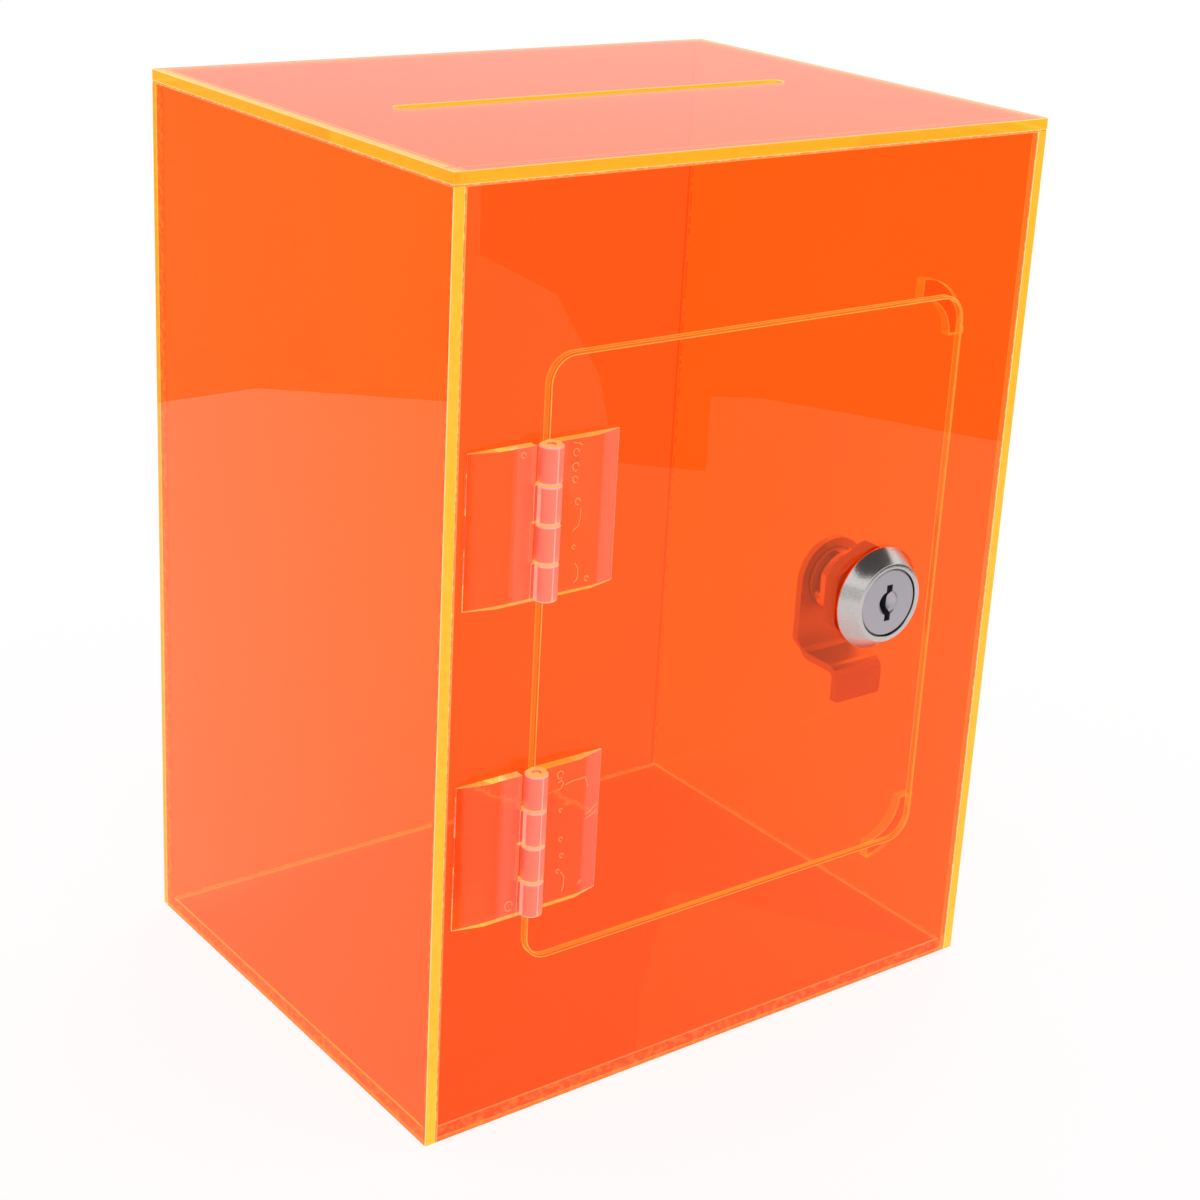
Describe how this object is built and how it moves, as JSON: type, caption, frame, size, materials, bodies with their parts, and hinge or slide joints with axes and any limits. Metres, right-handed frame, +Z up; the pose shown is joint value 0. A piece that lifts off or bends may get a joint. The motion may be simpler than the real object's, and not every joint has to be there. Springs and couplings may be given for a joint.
{
  "type": "acrylic money box",
  "caption": "Clear orange acrylic money box with a coin slot in the lid, a front door on clear plastic hinges and a keyed cam lock.",
  "frame": {"origin": "middle of the base, on the surface the box stands on", "axes": "+Z up, +X to the right along the front, -Y out of the front that holds the door"},
  "size_m": [0.18, 0.1461, 0.24],
  "materials": {
    "orange_acrylic": "clear fluorescent orange cast acrylic, polished faces, saw-cut edges that glow yellow",
    "clear_plastic": "clear moulded plastic, glossy",
    "nickel_plate": "bright nickel plate over die-cast zinc",
    "zinc_plate": "zinc-plated steel"
  },
  "bodies": {
    "box": {"top_panel": "orange_acrylic", "bottom_panel": "orange_acrylic", "left_panel": "orange_acrylic", "right_panel": "orange_acrylic", "front_panel": "orange_acrylic", "back_panel": "orange_acrylic", "upper_corner_stop": "orange_acrylic", "lower_corner_stop": "orange_acrylic", "upper_hinge_frame_leaf": "clear_plastic", "upper_hinge_pin": "clear_plastic", "lower_hinge_frame_leaf": "clear_plastic", "lower_hinge_pin": "clear_plastic"},
    "door": {"door_panel": "orange_acrylic", "upper_hinge_door_leaf": "clear_plastic", "lower_hinge_door_leaf": "clear_plastic", "lock_body": "nickel_plate", "lock_nut": "zinc_plate"},
    "lock_rotor": {"lock_plug": "nickel_plate", "lock_stop_washer": "zinc_plate", "lock_cam": "zinc_plate", "cam_washer": "zinc_plate", "cam_screw": "zinc_plate"}
  },
  "joints": [
    {"name": "door_swing", "type": "hinge", "parent": "box", "child": "door", "pos_m": [-0.0639, -0.0732, 0.118], "axis": [0, 0, -1], "range_deg": [0, 175]},
    {"name": "lock_turn", "type": "hinge", "parent": "door", "child": "lock_rotor", "pos_m": [0.0451, -0.07, 0.118], "axis": [0, -1, 0], "range_deg": [0, 90]}
  ]
}
